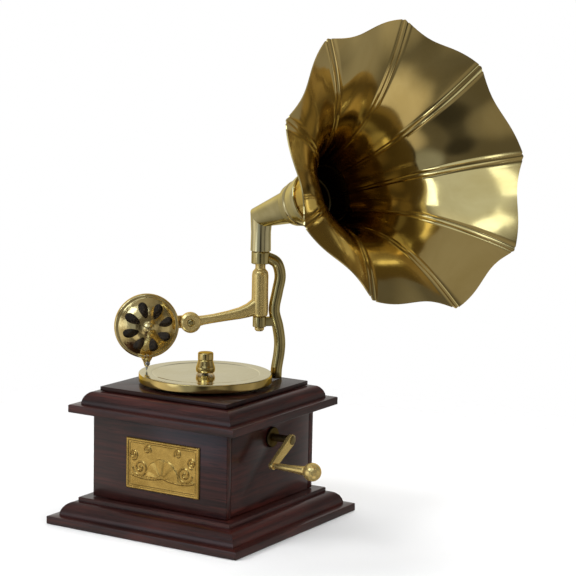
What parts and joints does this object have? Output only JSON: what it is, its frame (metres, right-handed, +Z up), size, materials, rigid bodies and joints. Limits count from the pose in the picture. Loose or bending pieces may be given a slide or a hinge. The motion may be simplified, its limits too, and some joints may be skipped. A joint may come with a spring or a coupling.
{
  "type": "wind-up gramophone",
  "caption": "Small wind-up disc gramophone: square mahogany case with spring motor, side crank, brass turntable, swinging tone arm with sound box, and a flared ribbed brass horn.",
  "frame": {"origin": "middle of the square underside of the case, on the surface it stands on", "axes": "+Z up, -Y towards the side with the plaque, +X towards the side with the crank"},
  "size_m": [0.2829, 0.1827, 0.3367],
  "materials": {
    "mahogany": "high-gloss dark red-brown lacquer",
    "bare_wood": "unfinished",
    "polished_brass": "polished and lacquered",
    "cast_brass": "cast, lightly polished",
    "pale_brass": "polished, slightly silvery",
    "steel": "turned",
    "spring_steel": "blued",
    "mica": "thin mica sheet"
  },
  "bodies": {
    "cabinet": {"bottom_board": "bare_wood", "plinth_front": "mahogany", "plinth_right": "mahogany", "plinth_back": "mahogany", "plinth_left": "mahogany", "panel_front": "mahogany", "panel_back": "mahogany", "panel_left": "mahogany", "panel_right": "mahogany", "lid_front": "mahogany", "lid_right": "mahogany", "lid_back": "mahogany", "lid_left": "mahogany", "top_board": "mahogany", "plaque": "polished_brass", "spindle_bush": "polished_brass", "crank_bush": "polished_brass", "horn_bracket": "cast_brass", "pivot_screw": "cast_brass", "motor_top_plate": "steel", "motor_bottom_plate": "steel", "motor_post_1": "steel", "motor_post_2": "steel", "motor_post_3": "steel"},
    "turntable": {"platter": "polished_brass", "spindle": "steel", "record_knob": "polished_brass", "spindle_wheel": "polished_brass"},
    "train": {"train_arbor": "steel", "train_wheel": "polished_brass"},
    "governor": {"governor_arbor": "steel", "governor_head": "polished_brass"},
    "barrel": {"spring_barrel": "polished_brass", "mainspring": "spring_steel"},
    "winder": {"winding_arbor": "steel", "bevel_wheel": "polished_brass", "ratchet_wheel": "steel"},
    "click": {"click": "steel"},
    "crank": {"crank_shaft": "steel", "crank_arm": "polished_brass"},
    "grip": {"crank_grip": "polished_brass"},
    "arm": {"tone_arm": "cast_brass", "boss_screw": "steel"},
    "sound_box": {"sound_box_back": "cast_brass", "sound_box_cover": "polished_brass", "diaphragm": "mica", "needle_arm": "cast_brass", "needle": "steel", "needle_screw": "steel"},
    "horn": {"elbow": "pale_brass", "horn_neck": "pale_brass", "horn_petal_1": "polished_brass", "horn_petal_2": "polished_brass", "horn_petal_3": "polished_brass", "horn_petal_4": "polished_brass", "horn_petal_5": "polished_brass", "horn_petal_6": "polished_brass", "horn_petal_7": "polished_brass", "horn_petal_8": "polished_brass", "horn_petal_9": "polished_brass"}
  },
  "joints": [
    {"name": "turntable_spin", "type": "hinge", "parent": "cabinet", "child": "turntable", "pos_m": [0, 0, 0.0994], "axis": [0, 0, 1], "continuous": true},
    {"name": "train_spin", "type": "hinge", "parent": "cabinet", "child": "train", "pos_m": [0.01017, -0.01837, 0.0245], "axis": [0, 0, 1], "continuous": true},
    {"name": "barrel_turn", "type": "hinge", "parent": "cabinet", "child": "barrel", "pos_m": [0.024, 0, 0.0295], "axis": [0, 0, 1], "continuous": true},
    {"name": "governor_spin", "type": "hinge", "parent": "cabinet", "child": "governor", "pos_m": [-0.01379, 0.01157, 0.05275], "axis": [0, 0, 1], "continuous": true},
    {"name": "crank_turn", "type": "hinge", "parent": "cabinet", "child": "crank", "pos_m": [0.0668, 0, 0.0625], "axis": [1, 0, 0], "continuous": true},
    {"name": "winder_turn", "type": "hinge", "parent": "cabinet", "child": "winder", "pos_m": [0.024, 0, 0.058], "axis": [0, 0, 1], "continuous": true},
    {"name": "click_lift", "type": "hinge", "parent": "cabinet", "child": "click", "pos_m": [0.01513, 0.00394, 0.0694], "axis": [0, 0, 1], "range_deg": [0, 20], "stiffness_Nm_per_rad": 0.00005},
    {"name": "grip_spin", "type": "hinge", "parent": "crank", "child": "grip", "pos_m": [0.0668, -0.02228, 0.04969], "axis": [1, 0, 0], "continuous": true},
    {"name": "arm_swing", "type": "hinge", "parent": "cabinet", "child": "arm", "pos_m": [0.01875, 0.03675, 0.15], "axis": [0, 0, 1], "range_deg": [-75, 36]},
    {"name": "sound_box_lift", "type": "hinge", "parent": "arm", "child": "sound_box", "pos_m": [-0.01491, 0.00309, 0.1314], "axis": [-0.7071, 0.7071, 0], "range_deg": [0, 60]},
    {"name": "horn_swivel", "type": "hinge", "parent": "cabinet", "child": "horn", "pos_m": [0.01875, 0.03675, 0.1747], "axis": [0, 0, 1], "continuous": true}
  ],
  "couplings": [
    {"joint": "train_spin", "follows": "turntable_spin", "ratio": -0.3125},
    {"joint": "barrel_turn", "follows": "turntable_spin", "ratio": 0.086806},
    {"joint": "governor_spin", "follows": "turntable_spin", "ratio": -4},
    {"joint": "winder_turn", "follows": "crank_turn", "ratio": 0.66667}
  ]
}
